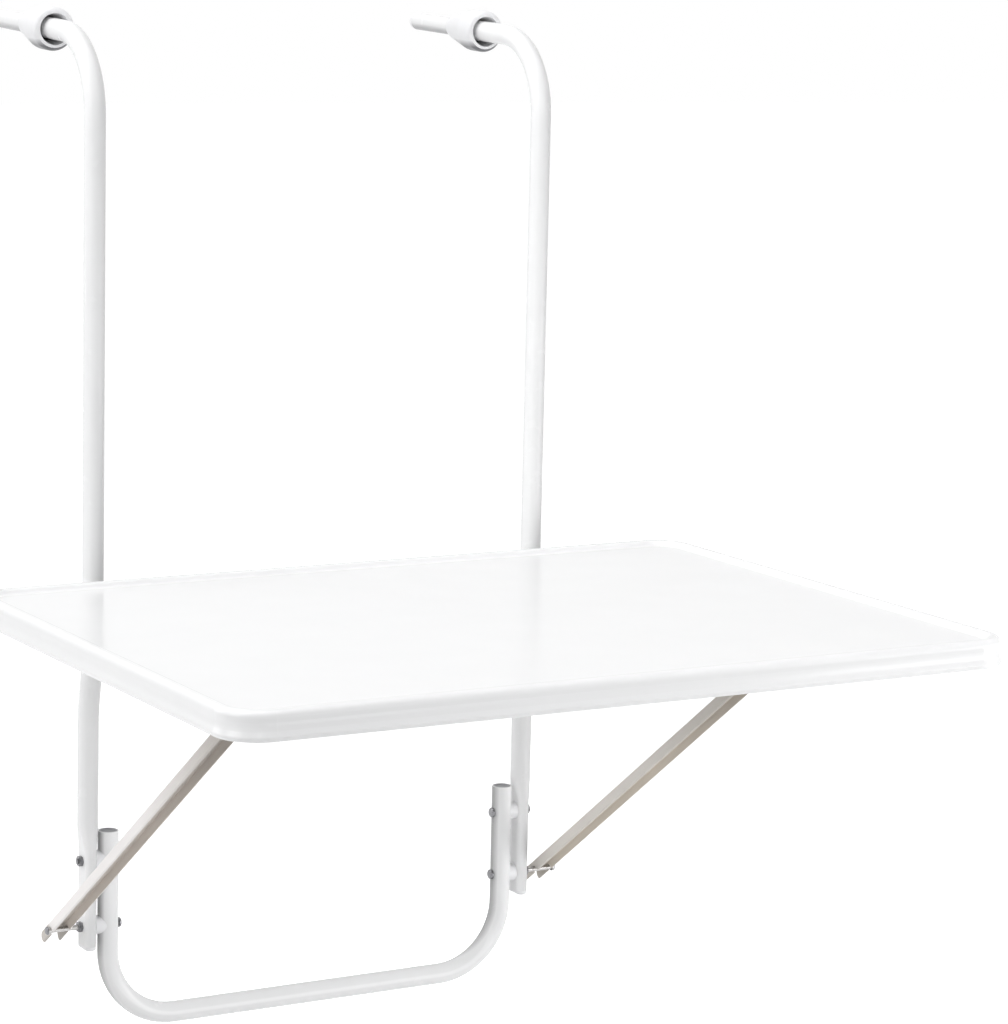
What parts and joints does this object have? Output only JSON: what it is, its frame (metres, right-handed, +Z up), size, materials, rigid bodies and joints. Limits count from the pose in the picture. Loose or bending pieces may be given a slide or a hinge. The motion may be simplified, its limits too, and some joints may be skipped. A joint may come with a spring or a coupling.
{
  "type": "balcony railing table",
  "caption": "Folding tray table on two tubes that hook over a balcony handrail, braced below by a U-shaped tube and propped by swinging channel struts, with sliding stops on the hooks.",
  "frame": {"origin": "middle of the handrail seat: midway between the two hooks, midway across the throat, level with the underside of the hooks", "axes": "+Z up, +Y out over the handrail and away from the person at the table, +X to that person's right"},
  "size_m": [0.5998, 0.6928, 0.7721],
  "materials": {
    "white_enamel": "satin powder coat",
    "strut_enamel": "satin powder coat",
    "white_resin": "smooth moulded",
    "stop_resin": "satin moulded",
    "dark_plug": "matt",
    "zinc_steel": "dull zinc"
  },
  "bodies": {
    "frame": {"upright_left": "white_enamel", "upright_right": "white_enamel", "upright_plug_left": "stop_resin", "upright_plug_right": "stop_resin", "brace_bar": "white_enamel", "brace_plug_left": "dark_plug", "brace_plug_right": "dark_plug", "frame_spacers": "stop_resin", "frame_bolts": "zinc_steel", "strut_pins": "zinc_steel", "frame_nuts": "zinc_steel", "pin_caps": "zinc_steel", "hinge_bolts": "zinc_steel", "hinge_nuts": "zinc_steel"},
    "table": {"tabletop": "white_resin", "hinge_fork_left": "strut_enamel", "hinge_fork_right": "strut_enamel", "hinge_screws": "zinc_steel", "strut_bracket_left": "strut_enamel", "strut_bracket_right": "strut_enamel", "bracket_screws": "zinc_steel", "pivot_bolts": "zinc_steel", "pivot_nuts": "zinc_steel"},
    "left_strut": {"strut_left": "strut_enamel"},
    "right_strut": {"strut_right": "strut_enamel"},
    "left_stop": {"rail_collar_left": "stop_resin", "stop_rod_left": "white_enamel", "rod_cap_left": "stop_resin"},
    "right_stop": {"rail_collar_right": "stop_resin", "stop_rod_right": "white_enamel", "rod_cap_right": "stop_resin"}
  },
  "joints": [
    {"name": "table_fold", "type": "hinge", "parent": "frame", "child": "table", "pos_m": [0, -0.046, -0.4235], "axis": [1, 0, 0], "range_deg": [0, 90]},
    {"name": "left_strut_swing", "type": "hinge", "parent": "table", "child": "left_strut", "pos_m": [-0.21, -0.366, -0.4219], "axis": [1, 0, 0], "range_deg": [0, 36]},
    {"name": "right_strut_swing", "type": "hinge", "parent": "table", "child": "right_strut", "pos_m": [0.21, -0.366, -0.4219], "axis": [1, 0, 0], "range_deg": [0, 36]},
    {"name": "left_stop_slide", "type": "slide", "parent": "frame", "child": "left_stop", "axis": [0, 0.999, 0.0436], "range_m": [-0.008, 0.019]},
    {"name": "right_stop_slide", "type": "slide", "parent": "frame", "child": "right_stop", "axis": [0, 0.999, 0.0436], "range_m": [-0.022, 0.005]}
  ],
  "couplings": [
    {"joint": "left_strut_swing", "follows": "table_fold", "ratio": 0.39818},
    {"joint": "right_strut_swing", "follows": "table_fold", "ratio": 0.39818}
  ]
}
